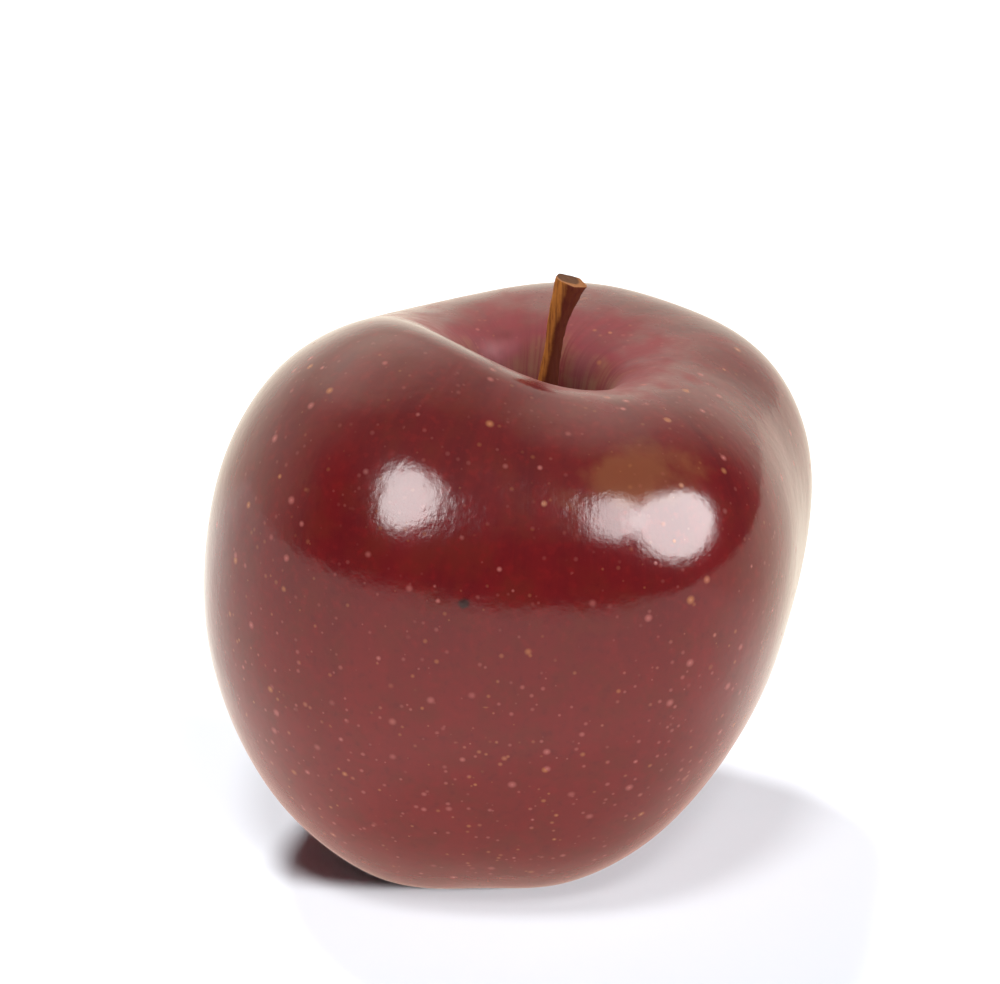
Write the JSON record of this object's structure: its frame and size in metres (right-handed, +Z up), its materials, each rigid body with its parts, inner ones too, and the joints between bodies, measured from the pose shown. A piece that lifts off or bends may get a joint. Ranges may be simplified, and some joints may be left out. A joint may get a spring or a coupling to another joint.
{
  "type": "red apple",
  "caption": "Tall red dessert apple with lobed shoulders, a deep stem cavity with its stem, and a dried calyx, standing on its feet.",
  "frame": {"origin": "bottom centre of the bounding box, on the surface that the apple stands on", "axes": "+Z up, -Y towards the side with the two front lobes, +X to the right as seen from that side"},
  "size_m": [0.0768, 0.0784, 0.0744],
  "materials": {
    "skin": "waxy, glossy dark red skin with pale specks",
    "stem": "dry, woody brown stalk with a cut end",
    "calyx": "dried, papery brown sepals"
  },
  "bodies": {
    "root": {"fruit": "skin", "stem": "stem", "calyx": "calyx"}
  },
  "joints": []
}
